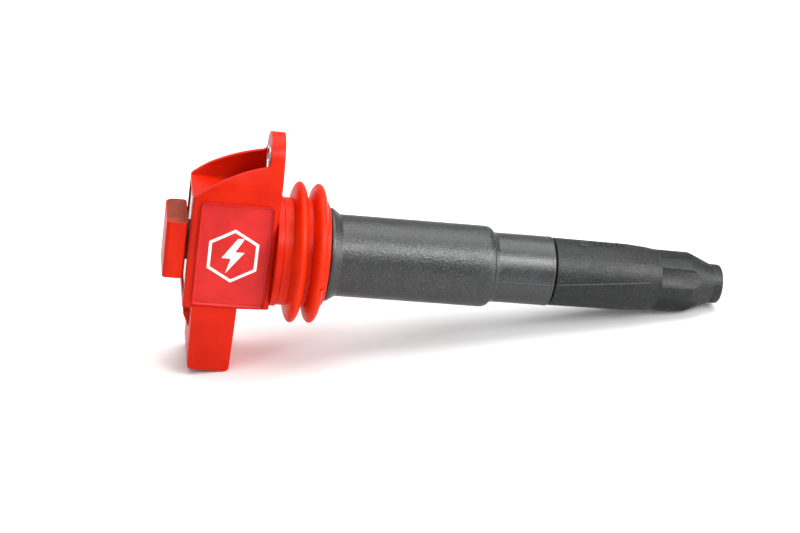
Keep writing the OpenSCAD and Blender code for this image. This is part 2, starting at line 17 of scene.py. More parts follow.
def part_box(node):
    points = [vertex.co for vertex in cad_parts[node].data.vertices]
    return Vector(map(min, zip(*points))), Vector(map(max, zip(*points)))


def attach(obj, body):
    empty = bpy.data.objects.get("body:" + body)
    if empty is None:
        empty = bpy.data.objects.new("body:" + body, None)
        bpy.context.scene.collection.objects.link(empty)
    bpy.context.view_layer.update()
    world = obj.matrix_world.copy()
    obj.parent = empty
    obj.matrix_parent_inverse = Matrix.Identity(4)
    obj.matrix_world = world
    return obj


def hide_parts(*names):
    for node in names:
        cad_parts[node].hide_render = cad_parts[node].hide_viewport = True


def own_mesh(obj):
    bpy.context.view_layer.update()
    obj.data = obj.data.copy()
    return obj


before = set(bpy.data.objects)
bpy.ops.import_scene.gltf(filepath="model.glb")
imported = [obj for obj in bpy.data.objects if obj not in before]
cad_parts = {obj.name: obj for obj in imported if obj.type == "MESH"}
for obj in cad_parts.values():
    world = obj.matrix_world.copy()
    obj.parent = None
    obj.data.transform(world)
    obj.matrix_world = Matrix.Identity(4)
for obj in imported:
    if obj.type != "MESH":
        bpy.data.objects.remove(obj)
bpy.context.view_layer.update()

MM = 0.001
BODY_COIL = "coil"
BODY_CONTACT = "contact"
BEAD_MM = 0.17  # radius of the bead along a mould's parting line
BOOT_GAP_MM = 0.5  # from the lower sleeve's end to the boot's shoulder
RELIEF_MM = 0.2  # height of the grain at full strength
PATCH_SPAN = (0.3, 0.7)  # part of the soft noise that the roughness follows
DRIFT_SPAN = (0.32, 0.66)  # part of the soft noise that the colour follows
SPECK_SPAN = (0.52, 0.8)  # part of the fine noise that shows as specks
SPECK_SHARE = 0.55  # most that a speck's colour takes over
WAVE_UNIT = 20.0  # radians of the wave texture for each unit of scale
BRICK_ROW = 0.25  # height of a row of the brick texture at scale 1
Piece = bpy.types.Object
Tree = bpy.types.NodeTree
Socket = bpy.types.NodeSocket
Point = tuple[float, float]
Point3 = tuple[float, float, float]
Wall = list[Point]

log = logging.getLogger("ignition_coil")


# ---- Materials ----


def linear(hex_colour: str) -> tuple[float, float, float, float]:
    """Turns an sRGB hex colour into linear light.

    Args:
        hex_colour: a colour such as "#ee3014".

    Returns:
        Linear red, green and blue, and an alpha of 1.
    """
    channels = [int(hex_colour[i:i + 2], 16) / 255 for i in (1, 3, 5)]
    light = [c / 12.92 if c <= 0.04045 else ((c + 0.055) / 1.055) ** 2.4 for c in channels]
    return light[0], light[1], light[2], 1.0


def add_node(
    tree: Tree,
    kind: str,
    settings: dict[str, object] | None = None,
    inputs: dict[str | int, object] | None = None,
) -> bpy.types.Node:
    """Adds a node with its settings, its values and its links.

    Args:
        tree: the node tree that gets the node.
        kind: Blender's name for the kind of node.
        settings: properties of the node.
        inputs: a value, or the socket to link from, for each named input.

    Returns:
        The new node.
    """
    node = tree.nodes.new(kind)
    for name, value in (settings or {}).items():
        setattr(node, name, value)
    for name, value in (inputs or {}).items():
        if isinstance(value, Socket):
            tree.links.new(value, node.inputs[name])
        else:
            node.inputs[name].default_value = value
    return node


def per_metre(size_mm: float) -> float:
    """Texture scale at which one feature of the pattern is size_mm wide."""
    return 1.0 / (size_mm * MM)


@dataclass(frozen=True)
class Finish:
    """A plain moulded or cast finish: an even colour that drifts a little, with a fine grain.

    Attributes:
        name: the material's common name and how its surface was made.
        colour: sRGB colour of most of the surface.
        drift: sRGB colour that the surface drifts to in soft patches.
        roughness: the surface's mean roughness.
        swing: how far the roughness goes either way, in the same patches.
        grain_mm: width of a grain, drawn coarser than the real 0.1 to 0.2 mm so that it shows.
        grain_depth: strength of the grain's relief.
        patch_mm: width of a patch of drift.
        metallic: 1 for bare metal.
        ior: index of refraction; metals keep the default.
        specks: sRGB colour of fine specks, such as fibre ends, or None.
    """

    name: str
    colour: str
    drift: str
    roughness: float
    swing: float = 0.05
    grain_mm: float = 0.5
    grain_depth: float = 0.06
    patch_mm: float = 9.0
    metallic: float = 0.0
    ior: float = 1.5
    specks: str | None = None

    def material(self) -> bpy.types.Material:
        """Builds the node material.

        Returns:
            The finished material.
        """
        made = bpy.data.materials.new(self.name)
        made.use_nodes = True
        tree = made.node_tree
        shader = next(n for n in tree.nodes if n.type == "BSDF_PRINCIPLED")
        place = add_node(tree, "ShaderNodeTexCoord").outputs["Object"]
        shader.inputs["Metallic"].default_value = self.metallic
        shader.inputs["IOR"].default_value = self.ior
        patches = add_node(tree, "ShaderNodeTexNoise", inputs={
            "Vector": place, "Scale": per_metre(self.patch_mm), "Detail": 3.0}).outputs["Fac"]
        tree.links.new(self.tone(tree, place, patches), shader.inputs["Base Color"])
        rough = add_node(tree, "ShaderNodeMapRange", inputs={
            "Value": patches, "From Min": PATCH_SPAN[0], "From Max": PATCH_SPAN[1],
            "To Min": self.roughness - self.swing, "To Max": self.roughness + self.swing})
        tree.links.new(rough.outputs["Result"], shader.inputs["Roughness"])
        bump = add_node(tree, "ShaderNodeBump", inputs={
            "Strength": self.grain_depth, "Distance": RELIEF_MM * MM,
            "Height": self.relief(tree, place)})
        tree.links.new(bump.outputs["Normal"], shader.inputs["Normal"])
        return made

    def tone(
        self, tree: Tree, place: Socket,
        patches: Socket,
    ) -> Socket:
        """Colour of the surface.

        Args:
            tree: the material's node tree.
            place: object coordinates.
            patches: soft patches, from 0 to 1.

        Returns:
            The socket that carries the colour.
        """
        ramp = add_node(tree, "ShaderNodeValToRGB", inputs={"Fac": patches})
        tones = zip(ramp.color_ramp.elements, DRIFT_SPAN, (self.drift, self.colour))
        for element, position, colour in tones:
            element.position = position
            element.color = linear(colour)
        if self.specks is None:
            return ramp.outputs["Color"]
        dots = add_node(tree, "ShaderNodeTexNoise", inputs={
            "Vector": place, "Scale": per_metre(self.grain_mm), "Detail": 2.0})
        share = add_node(tree, "ShaderNodeMapRange", inputs={
            "Value": dots.outputs["Fac"], "From Min": SPECK_SPAN[0], "From Max": SPECK_SPAN[1],
            "To Min": 0.0, "To Max": SPECK_SHARE})
        # Sockets 6 and 7 are the colours A and B, and output 2 is the colour result.
        mix = add_node(tree, "ShaderNodeMix", {"data_type": "RGBA"}, {
            "Factor": share.outputs["Result"], 6: ramp.outputs["Color"], 7: linear(self.specks)})
        return mix.outputs[2]

    def relief(
        self, tree: Tree, place: Socket
    ) -> Socket:
        """Height of the fine grain.

        Args:
            tree: the material's node tree.
            place: object coordinates.

        Returns:
            The socket that carries the height.
        """
        grain = add_node(tree, "ShaderNodeTexNoise", inputs={
            "Vector": place, "Scale": per_metre(self.grain_mm), "Detail": 4.0})
        return grain.outputs["Fac"]


@dataclass(frozen=True)
class TurnedFinish(Finish):
    """Metal or wire with fine lines round the coil axis.

    Attributes:
        line_mm: spacing of the lines along the axis, drawn coarser than the real 0.1 mm.
    """

    line_mm: float = 0.35

    def relief(
        self, tree: Tree, place: Socket
    ) -> Socket:
        """Height of the lines, which repeat along X.

        Args:
            tree: the material's node tree.
            place: object coordinates.

        Returns:
            The socket that carries the height.
        """
        lines = add_node(tree, "ShaderNodeTexWave", {"bands_direction": "X"}, {
            "Vector": place, "Scale": per_metre(self.line_mm) / WAVE_UNIT * math.pi,
            "Distortion": 0.4, "Detail": 1.0})
        return lines.outputs["Fac"]


@dataclass(frozen=True)
class BoardFinish(Finish):
    """Circuit board: solder mask over copper tracks and ground areas.

    Attributes:
        track_mm: height of an area between two tracks.
    """

    track_mm: float = 3.2

    def tone(
        self, tree: Tree, place: Socket,
        patches: Socket,
    ) -> Socket:
        """Colour of the mask, lighter where it lies on copper.

        Args:
            tree: the material's node tree.
            place: object coordinates.
            patches: soft patches, from 0 to 1.

        Returns:
            The socket that carries the colour.
        """
        tracks = add_node(tree, "ShaderNodeTexBrick", inputs={
            "Vector": place, "Scale": per_metre(self.track_mm) * BRICK_ROW,
            "Color1": linear(self.colour), "Color2": linear(self.drift),
            "Mortar": linear(self.specks or self.colour), "Mortar Size": 0.03})
        return tracks.outputs["Color"]


# Glass-filled PBT, moulded: a lively orange red with a broad, soft gleam.
HOUSING = Finish(
    "glass_filled_PBT_moulded_red", "#cf2204", "#c11b03", 0.36, 0.05, 0.7, 0.1, 9.0, ior=1.2)
# Silicone rubber, moulded: a warmer red that glows in the hollows between the ribs.
SEAL = Finish(
    "silicone_rubber_moulded_red", "#dc2904", "#cc2202", 0.4, 0.06, 0.6, 0.12, 7.0, ior=1.2)
# Vinyl film, printed: a flat crimson, bluer than the housing, with a faint sheen.
LABEL = Finish(
    "vinyl_film_printed_crimson", "#d02622", "#c01e1c", 0.38, 0.05, 1.4, 0.05, 7.0, ior=1.28)
# Screen ink: a clean, even white with crisp edges.
INK = Finish("screen_ink_white", "#fdfcfc", "#f7f5f5", 0.4, 0.03, 0.5, 0.03)
# PPS with glass fibre, satin moulded: dark grey with pale flecks and a wide, broken gleam.
UPPER_SLEEVE = Finish(
    "PPS_moulded_satin_grey", "#262728", "#1f2021", 0.34, 0.06, 0.6, 0.7, 5.0, ior=1.46,
    specks="#5f6061")
# The same PPS from a polished mould: smoother, so its gleam is narrower and brighter.
LOWER_SLEEVE = Finish(
    "PPS_moulded_polished_grey", "#2a2b2c", "#232425", 0.3, 0.04, 0.5, 0.4, 5.0, ior=1.46,
    specks="#5f6062")
# EPDM rubber, moulded: nearly black, with a dull, dusty gleam.
BOOT = Finish(
    "EPDM_rubber_moulded_dark", "#141516", "#0e0f10", 0.46, 0.07, 0.65, 0.9, 4.5, ior=1.36,
    specks="#434445")
# Mould flash: a hairline where the mould's halves met, painted paler than the sleeve and the boot
# as a painted highlight along its crest.
FLASH_HIGHLIGHT = Finish("mould_flash_painted_highlight_grey", "#3c3d3e", "#343536", 0.5, 0.04, ior=1.46)
# Epoxy, poured black: deep and glassy, so it mirrors the end box beside it.
POTTING = Finish(
    "epoxy_resin_poured_black", "#2c2522", "#241e1b", 0.12, 0.03, 3.0, 0.03, 8.0, ior=1.55)
# Epoxy, poured brown and cured dull: a matt red brown, like old varnish, darkened further as
# painted shade for the shade on the end box's top.
BOX_RESIN_AND_SHADE = Finish(
    "epoxy_resin_brown_and_painted_shade", "#963921", "#82301a", 0.55, 0.06, 0.8, 0.2, 3.0, ior=1.3)
# Steel, turned and zinc plated: bright silver, its glints drawn out into rings.
BUSHING = TurnedFinish("steel_turned_zinc_plated", "#d5d8dc", "#c3c6ca", 0.28, 0.05, metallic=1.0)
# Spring steel, drawn: a clean silver glint along each turn.
SPRING = Finish("spring_steel_drawn", "#cfd2d6", "#bfc2c6", 0.25, 0.05, 0.3, 0.05, metallic=1.0)
# Brass, turned: warm yellow with fine rings.
CONTACT = TurnedFinish("brass_turned", "#d8b765", "#c8a655", 0.26, 0.05, metallic=1.0)
# Brass, stamped and tinned: pale blades, between silver and gold.
TERMINAL = Finish(
    "brass_stamped_tinned", "#d9cfa6", "#cbbf92", 0.3, 0.05, 0.3, 0.05, metallic=1.0)
# Copper wire, enamelled: orange brown with a line of light on each turn.
COPPER = TurnedFinish("copper_wire_enamelled", "#b8622c", "#9c4c1e", 0.3, 0.05, metallic=0.8)
# Copper strip, stamped: pinker and brighter than the wire.
LINK = Finish("copper_strip_stamped", "#c87a45", "#b96c38", 0.32, 0.05, 0.4, 0.05, metallic=1.0)
# Silicon steel, rolled: a flat mid grey with fine rolling lines.
SHIELD = TurnedFinish("silicon_steel_rolled", "#94979b", "#83868a", 0.4, 0.05, metallic=1.0)
# Silicon steel, laminated: a duller silver, slightly uneven from sheet to sheet.
CORE = Finish(
    "silicon_steel_laminated", "#a0a3a7", "#8c8f93", 0.38, 0.06, 0.4, 0.08, metallic=1.0)
# Ferrite, sintered and coated: dark grey with a weak metal sheen.
MAGNET = Finish(
    "ferrite_sintered_coated", "#6b6e72", "#5c5f63", 0.45, 0.05, 0.6, 0.12, metallic=0.6)
# Aluminium, rolled: pale and a little milky.
SPREADER = Finish("aluminium_rolled", "#c4c7cb", "#b4b7bb", 0.33, 0.05, 0.5, 0.06, metallic=1.0)
# PBT, moulded ivory: a warm white with a soft gleam.
IVORY = Finish("PBT_moulded_ivory", "#ddd6c6", "#d2cab9", 0.45, 0.05, 0.6, 0.06)
# PPE, moulded dark: a satin brown black that sets off the copper.
DARK_PPE = Finish("PPE_moulded_dark", "#3c3935", "#33302c", 0.42, 0.05, 0.6, 0.06)
# Nitrile rubber, moulded: matt black without a gleam.
CUSHION = Finish("nitrile_rubber_moulded", "#2f2f32", "#28282b", 0.6, 0.05, 0.5, 0.12)
# Alumina, fired: a chalky off-white.
CERAMIC = Finish("alumina_fired", "#d6cfc0", "#cac2b2", 0.5, 0.05, 0.5, 0.08)
# Epoxy, moulded black: the flat black of a chip's package.
CHIP = Finish("epoxy_moulded_black", "#1e1e20", "#18181a", 0.55, 0.05, 0.4, 0.1)
# Epoxy, dipped ochre: a glossy mustard skin.
CAPACITOR = Finish("epoxy_dipped_ochre", "#cb8d22", "#b97f1c", 0.3, 0.05, 1.2, 0.05)
# FR4 under solder mask: leaf green, with lighter lines where the mask lies on copper.
BOARD = BoardFinish(
    "FR4_solder_mask_green", "#1f6b3a", "#1a5c31", 0.35, 0.04, 0.5, 0.05, specks="#3c8f58")
# Paper, matt white: it takes the coil's shadow and no gleam.
PAPER = Finish("paper_matt_white", "#f7f7f7", "#f5f5f5", 0.75, 0.02, 2.0, 0.02, 60.0)


# ---- Modelling helpers ----


def mm(*sizes: float) -> list[float]:
    """Turns millimetres into metres."""
    return [size * MM for size in sizes]


def turned(degrees: float, axis: str) -> Matrix:
    """A turn about one of the frame's axes."""
    return Matrix.Rotation(math.radians(degrees), 4, axis)


def leave_edit() -> None:
    """Goes back to object mode."""
    bpy.ops.object.mode_set(mode="OBJECT")


def deselect() -> None:
    """Leaves edit mode and clears the selection."""
    if bpy.context.object is not None and bpy.context.object.mode != "OBJECT":
        leave_edit()
    bpy.ops.object.select_all(action="DESELECT")


def choose(piece: Piece) -> None:
    """Makes one piece the only selected and active one.

    Args:
        piece: the piece to select.
    """
    deselect()
    piece.select_set(True)
    bpy.context.view_layer.objects.active = piece


def edit(piece: Piece, mode: str = "VERT") -> None:
    """Opens a piece for editing with everything selected.

    Args:
        piece: the piece to edit.
        mode: VERT, EDGE or FACE.
    """
    choose(piece)
    bpy.ops.object.mode_set(mode="EDIT")
    bpy.ops.mesh.select_mode(type=mode)
    bpy.ops.mesh.select_all(action="SELECT")


def pick(
    piece: Piece, wanted: Callable[[Vector, Vector], bool], mode: str = "FACE"
) -> None:
    """Selects faces or edges, and stays in edit mode.

    Args:
        piece: the piece to select on.
        wanted: says yes or no for a face's centre and normal, or an edge's centre and direction.
        mode: FACE or EDGE.
    """
    choose(piece)
    mesh = piece.data
    for group in (mesh.polygons, mesh.edges, mesh.vertices):
        group.foreach_set("select", [False] * len(group))
    if mode == "FACE":
        for face in mesh.polygons:
            face.select = wanted(face.center, face.normal)
    else:
        for line in mesh.edges:
            a, b = (mesh.vertices[i].co for i in line.vertices)
            line.select = wanted((a + b) / 2, (b - a).normalized())
    bpy.ops.object.mode_set(mode="EDIT")
    bpy.ops.mesh.select_mode(type=mode)


def apply_modifier(piece: Piece, kind: str, **settings: object) -> None:
    """Adds a modifier with its settings and applies it.

    Args:
        piece: the piece that is changed.
        kind: Blender's name for the modifier.
        settings: properties of the modifier.
    """
    choose(piece)
    modifier = piece.modifiers.new(kind.lower(), kind)
    for name, value in settings.items():
        setattr(modifier, name, value)
    bpy.ops.object.modifier_apply(modifier=modifier.name)


def volume(piece: Piece) -> float:
    """Volume inside a closed piece, which is negative when its faces point inwards.

    Args:
        piece: the closed piece.

    Returns:
        The volume, in cubic metres.
    """
    mesh = piece.data
    mesh.calc_loop_triangles()
    total = 0.0
    for triangle in mesh.loop_triangles:
        a, b, c = (mesh.vertices[i].co for i in triangle.vertices)
        total += a.dot(b.cross(c)) / 6
    return total


def close_up(piece: Piece) -> None:
    """Merges points nearer than a thousandth of a millimetre and turns all faces outwards.

    Args:
        piece: the closed piece to mend.
    """
    edit(piece)
    bpy.ops.mesh.remove_doubles(threshold=0.001 * MM)
    bpy.ops.mesh.normals_make_consistent(inside=False)
    leave_edit()
    if volume(piece) < 0:
        edit(piece)
        bpy.ops.mesh.flip_normals()
        leave_edit()


def smooth(piece: Piece, angle: float = 32.0) -> None:
    """Shades a piece smooth across edges flatter than angle, in degrees."""
    choose(piece)
    bpy.ops.object.shade_smooth_by_angle(angle=math.radians(angle))


def pull(x: float, y: float, z: float) -> None:
    """Extrudes what is selected by an offset, in metres."""
    bpy.ops.mesh.extrude_region_move(TRANSFORM_OT_translate={"value": (x, y, z)})


def join(pieces: list[Piece]) -> Piece:
    """Joins pieces into the first one.

    Args:
        pieces: the pieces to join.

    Returns:
        The first piece, which now holds all of them.
    """
    choose(pieces[0])
    for piece in pieces[1:]:
        piece.select_set(True)
    bpy.ops.object.join()
    return pieces[0]


def carve(piece: Piece, tool: Piece) -> None:
    """Cuts a tool out of a piece, and takes the tool away."""
    apply_modifier(piece, "BOOLEAN", object=tool, operation="DIFFERENCE", solver="EXACT")
    bpy.data.objects.remove(tool)


def block(name: str, low: Vector, high: Vector, rounding: float = 0.0) -> Piece:
    """A box between two corners, with rounded edges.

    Args:
        name: name of the piece.
        low: lowest corner, in metres.
        high: highest corner, in metres.
        rounding: radius of the edges, in metres.

    Returns:
        The box, with its place in its mesh.
    """
    deselect()
    bpy.ops.mesh.primitive_cube_add(size=1.0)
    piece = bpy.context.object
    piece.name = name
    piece.data.transform(
        Matrix.Translation((low + high) / 2) @ Matrix.Diagonal((*(high - low), 1.0)))
    if rounding > 0:
        apply_modifier(piece, "BEVEL", width=rounding, segments=3, limit_method="NONE")
    return piece


def spin_outline(name: str, outline: Wall, steps: int, closed: bool = True) -> Piece:
    """Turns an outline about the coil axis.

    Args:
        name: name of the piece.
        outline: distance along the axis and radius of each point, in metres.
        steps: number of steps round the axis.
        closed: whether the outline's end joins its start.

    Returns:
        The turned piece, with its faces outwards.
    """
    deselect()
    bpy.ops.mesh.primitive_plane_add(size=MM)
    piece = bpy.context.object
    piece.name = name
    edit(piece)
    bpy.ops.mesh.merge(type="CENTER")
    start = outline[0]
    bpy.ops.transform.translate(value=(start[0], 0.0, start[1]))
    points = list(outline[1:]) + ([start] if closed else [])
    for here, there in zip([start, *points], points):
        pull(there[0] - here[0], 0.0, there[1] - here[1])
    bpy.ops.mesh.select_all(action="SELECT")
    bpy.ops.mesh.remove_doubles(threshold=1e-7)
    bpy.ops.mesh.select_all(action="SELECT")
    bpy.ops.mesh.spin(steps=steps, angle=2 * math.pi, center=(0, 0, 0), axis=(1, 0, 0))
    close_up(piece)
    return piece


def round_corners(
    outline: Wall, radii: Iterable[float], steps: int, ends: bool = False
) -> Wall:
    """Replaces corners of an outline by arcs.

    Args:
        outline: the outline's points.
        radii: one radius for each point, 0 for a sharp one.
        steps: number of steps in an arc.
        ends: whether the outline is closed, so that its ends are corners too.

    Returns:
        The outline with its arcs.
    """
    made: Wall = []
    count = len(outline)
    for i, (point, radius) in enumerate(zip(outline, radii)):
        if radius <= 0 or (not ends and i in (0, count - 1)):
            made.append(point)
            continue
        b = Vector(point)
        to_a = (Vector(outline[i - 1]) - b).normalized()
        to_c = (Vector(outline[(i + 1) % count]) - b).normalized()
        half = math.acos(max(-1.0, min(1.0, to_a.dot(to_c)))) / 2
        centre = b + (to_a + to_c).normalized() * (radius / math.sin(half))
        first = b + to_a * (radius / math.tan(half)) - centre
        last = b + to_c * (radius / math.tan(half)) - centre
        turn = math.atan2(first.x * last.y - first.y * last.x, first.dot(last))
        for k in range(steps + 1):
            a = turn * k / steps
            made.append((
                centre.x + first.x * math.cos(a) - first.y * math.sin(a),
                centre.y + first.x * math.sin(a) + first.y * math.cos(a)))
    return made


def refine(outline: Wall, longest: float) -> Wall:
    """Splits a closed outline's sides.

    Args:
        outline: the outline's points.
        longest: the longest side that is left, in metres.

    Returns:
        The outline with the added points.
    """
    made: Wall = []
    for i, a in enumerate(outline):
        b = outline[(i + 1) % len(outline)]
        parts = max(1, math.ceil(math.dist(a, b) / longest))
        made += [(a[0] + (b[0] - a[0]) * k / parts, a[1] + (b[1] - a[1]) * k / parts)
                 for k in range(parts)]
    return made


def softened_copy(node: str, radius_mm: float) -> Piece:
    """Copies a CAD node, cleans its faces and gives its edges a moulded radius.

    Args:
        node: name of the CAD node.
        radius_mm: radius of the edges, in millimetres.

    Returns:
        The softened copy.
    """
    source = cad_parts[node]
    piece = source.copy()
    piece.data = source.data.copy()
    piece.name = node + "_moulding"
    piece.parent = None
    for key in list(piece.keys()):
        del piece[key]
    bpy.context.scene.collection.objects.link(piece)
    piece.hide_render = piece.hide_viewport = False
    edit(piece)
    bpy.ops.mesh.remove_doubles(threshold=2e-6)
    bpy.ops.mesh.dissolve_limited(angle_limit=math.radians(0.6))
    leave_edit()
    if piece.data.has_custom_normals:
        bpy.ops.mesh.customdata_custom_splitnormals_clear()
    apply_modifier(
        piece, "BEVEL", width=radius_mm * MM, segments=3, limit_method="ANGLE",
        angle_limit=math.radians(35.0), use_clamp_overlap=True, miter_outer="MITER_ARC",
        profile=0.5)
    smooth(piece, 40.0)
    return piece


def dress(
    piece: Piece, finish: Finish, slot: str, *nodes: str, body: str = BODY_COIL
) -> Piece:
    """Gives a new piece its material and its body, and hides the CAD nodes that it stands for.

    Args:
        piece: the finished piece.
        finish: what it is made of.
        slot: the record's material slot; not used.
        nodes: CAD nodes that it replaces.
        body: CAD body that it moves with.

    Returns:
        The same piece.
    """
    made = bpy.data.materials.get(finish.name) or finish.material()
    piece.data.materials.clear()
    piece.data.materials.append(made)
    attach(piece, body)
    if nodes:
        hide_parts(*nodes)
    log.info("%s: %d faces, %s", piece.name, len(piece.data.polygons), finish.name)
    return piece


def parting_line(name: str, path: list[Point3], slot: str) -> Piece:
    """The thin bead that the mould's halves leave along a turned piece, painted paler than the
    piece as a painted highlight.

    Args:
        name: name of the bead.
        path: distance along the axis and radius, in metres, and angle from the near side
            upwards, in degrees, of each point that the bead passes.
        slot: the record's material slot.

    Returns:
        The bead, as a piece of its own.
    """
    points = [
        Vector((x, -radius * math.cos(math.radians(turn)), radius * math.sin(math.radians(turn))))
        for x, radius, turn in path]
    deselect()
    bpy.ops.mesh.primitive_circle_add(vertices=8, radius=BEAD_MM * MM, fill_type="NGON")
    bead = bpy.context.object
    bead.name = name
    bead.data.transform(Matrix.Translation(points[0]) @ turned(90.0, "Y"))
    edit(bead, "FACE")
    for here, there in zip(points, points[1:]):
        pull(*(there - here))
    leave_edit()
    close_up(bead)
    smooth(bead, 50.0)
    # The bead's pale grey is a painted highlight along the parting line.
    return dress(bead, FLASH_HIGHLIGHT, slot)


# ---- Head: housing, label, end box, ear bushing and terminal blades ----


@dataclass
class Head:
    """The red moulded head and what is fixed to it.

    Attributes:
        edge_mm: radius of the housing's moulded edges.
        box_edge_mm: radius of the end box's edges.
        bushing_mm: wall of the bushing, and radius of its broken edges.
        corner_mm: radius of the label's corners.
        film_edge_mm: width of the film's worn edge.
        film_mm: thickness of the label's film.
        ink_mm: thickness of the label's ink.
        mark_x: place of the mark along the label, as a share of its length.
        mark_z: place of the mark up the label, as a share of its height.
        mark_mm: distance from the mark's middle to its corners.
        line_mm: width of the mark's line.
        blades: number of blades in the socket.
        blade_mm: width of a blade.
        tip_share: thickness and width of a blade's tip, as a share of the blade's.
        tip_mm: how far the tip's corners fall back.
        burr_mm: radius of a blade's edges.
    """

    edge_mm: float = 0.45
    box_edge_mm: float = 0.16
    bushing_mm: Point = (1.2, 0.3)
    corner_mm: float = 1.1
    film_edge_mm: float = 0.12
    film_mm: float = 0.1
    ink_mm: float = 0.03
    mark_x: float = 0.5
    mark_z: float = 0.5
    mark_mm: float = 9.4
    line_mm: float = 0.95
    blades: int = 4
    blade_mm: float = 1.5
    tip_share: Point = (0.45, 0.5)
    tip_mm: float = 1.2
    burr_mm: float = 0.08

    def housing(self) -> Piece:
        """The housing with moulded radii on its edges."""
        return dress(
            softened_copy("head_housing", self.edge_mm), HOUSING, "housing_red", "head_housing")

    def end_box(self) -> Piece:
        """The small box on the head's open end."""
        return dress(softened_copy("end_box", self.box_edge_mm), HOUSING, "housing_red", "end_box")

    def bushing(self) -> Piece:
        """The steel bushing in the ear, with broken edges.

        Returns:
            The bushing.
        """
        low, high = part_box("ear_bushing")
        wall, edge = mm(*self.bushing_mm)
        outer = (high.z - low.z) / 2
        bore = outer - wall
        ring = spin_outline("ear_bushing_turning", round_corners(
            [(low.x, bore), (low.x, outer), (high.x, outer), (high.x, bore)],
            [edge, edge, edge, edge], 3, ends=True), 72)
        ring.data.transform(Matrix.Translation((0.0, 0.0, (low.z + high.z) / 2)))
        smooth(ring)
        return dress(ring, BUSHING, "bushing_steel", "ear_bushing")

    def label(self) -> Piece:
        """The crimson film on the near face, with rounded corners.

        Returns:
            The film.
        """
        low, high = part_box("label")
        low.y = high.y - self.film_mm * MM
        film = block("label_film", low, high)
        pick(film, lambda c, d: abs(d.y) > 0.9, "EDGE")
        bpy.ops.mesh.bevel(offset=self.corner_mm * MM, segments=6, affect="EDGES")
        leave_edit()
        pick(film, lambda c, n: n.y < -0.9)
        bpy.ops.mesh.inset(thickness=self.film_edge_mm * MM)
        leave_edit()
        smooth(film, 30.0)
        return dress(film, LABEL, "label_film", "label")

    def mark(self) -> Piece:
        """A plain white spark in a six-sided frame, printed on the label.

        Returns:
            The mark.
        """
        low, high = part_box("label")
        x = low.x + (high.x - low.x) * self.mark_x
        z = low.z + (high.z - low.z) * self.mark_z
        deselect()
        bpy.ops.mesh.primitive_circle_add(
            vertices=6, radius=self.mark_mm * MM, fill_type="NGON")
        mark = bpy.context.object
        mark.name = "label_mark"
        edit(mark, "FACE")
        bpy.ops.mesh.inset(thickness=self.line_mm * MM)
        bpy.ops.mesh.delete(type="FACE")
        leave_edit()
        join([mark, self.bolt()])
        edit(mark, "FACE")
        pull(0.0, 0.0, self.ink_mm * MM)
        leave_edit()
        close_up(mark)
        mark.data.transform(
            Matrix.Translation((x, high.y - self.film_mm * MM, z)) @ turned(90.0, "X"))
        return dress(mark, INK, "label_film")

    def bolt(self) -> Piece:
        """A zigzag spark as one flat face in the XY plane.

        Returns:
            The flat spark.
        """
        outline = [
            (1.1, 6.2), (-3.6, -0.9), (-0.6, -0.9), (-1.9, -6.2), (3.6, 1.4), (0.6, 1.4),
            (3.2, 6.2)]
        deselect()
        bpy.ops.mesh.primitive_circle_add(vertices=len(outline), radius=MM, fill_type="NGON")
        bolt = bpy.context.object
        bolt.name = "label_bolt"
        for vertex, (x, y) in zip(bolt.data.vertices, outline):
            vertex.co = (x * MM, y * MM, 0.0)
        return bolt

    def terminals(self) -> Piece:
        """The blades in the socket, each with a pointed, broken-edged tip.

        Returns:
            The blades, as one piece.
        """
        low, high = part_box("connector_terminals")
        width = self.blade_mm * MM
        pitch = ((high.y - low.y) - width) / (self.blades - 1)
        made = []
        for i in range(self.blades):
            y = low.y + i * pitch
            middle = y + width / 2
            blade = block(
                f"blade_{i}", Vector((low.x, y, low.z)), Vector((high.x, y + width, high.z)))
            pick(blade, lambda c, n: n.z < -0.9)
            pull(0.0, 0.0, 0.0)
            bpy.ops.transform.resize(
                value=(*self.tip_share, 1.0),
                center_override=((low.x + high.x) / 2, middle, low.z))
            leave_edit()
            for vertex in blade.data.vertices:
                at_side = abs(abs(vertex.co.y - y - width / 2) - width / 2) < 1e-7
                if at_side and abs(vertex.co.z - low.z) < 1e-7:
                    vertex.co.z += self.tip_mm * MM
            apply_modifier(blade, "BEVEL", width=self.burr_mm * MM, segments=2,
                           limit_method="ANGLE", angle_limit=math.radians(25.0))
            made.append(blade)
        blades = join(made)
        blades.name = "terminal_blades"
        smooth(blades)
        return dress(blades, TERMINAL, "terminal_brass", "connector_terminals")

    def build(self) -> None:
        """Builds every piece of the head."""
        self.housing()
        self.end_box()
        self.bushing()
        self.label()
        self.mark()
        self.terminals()


# ---- Well seal ----


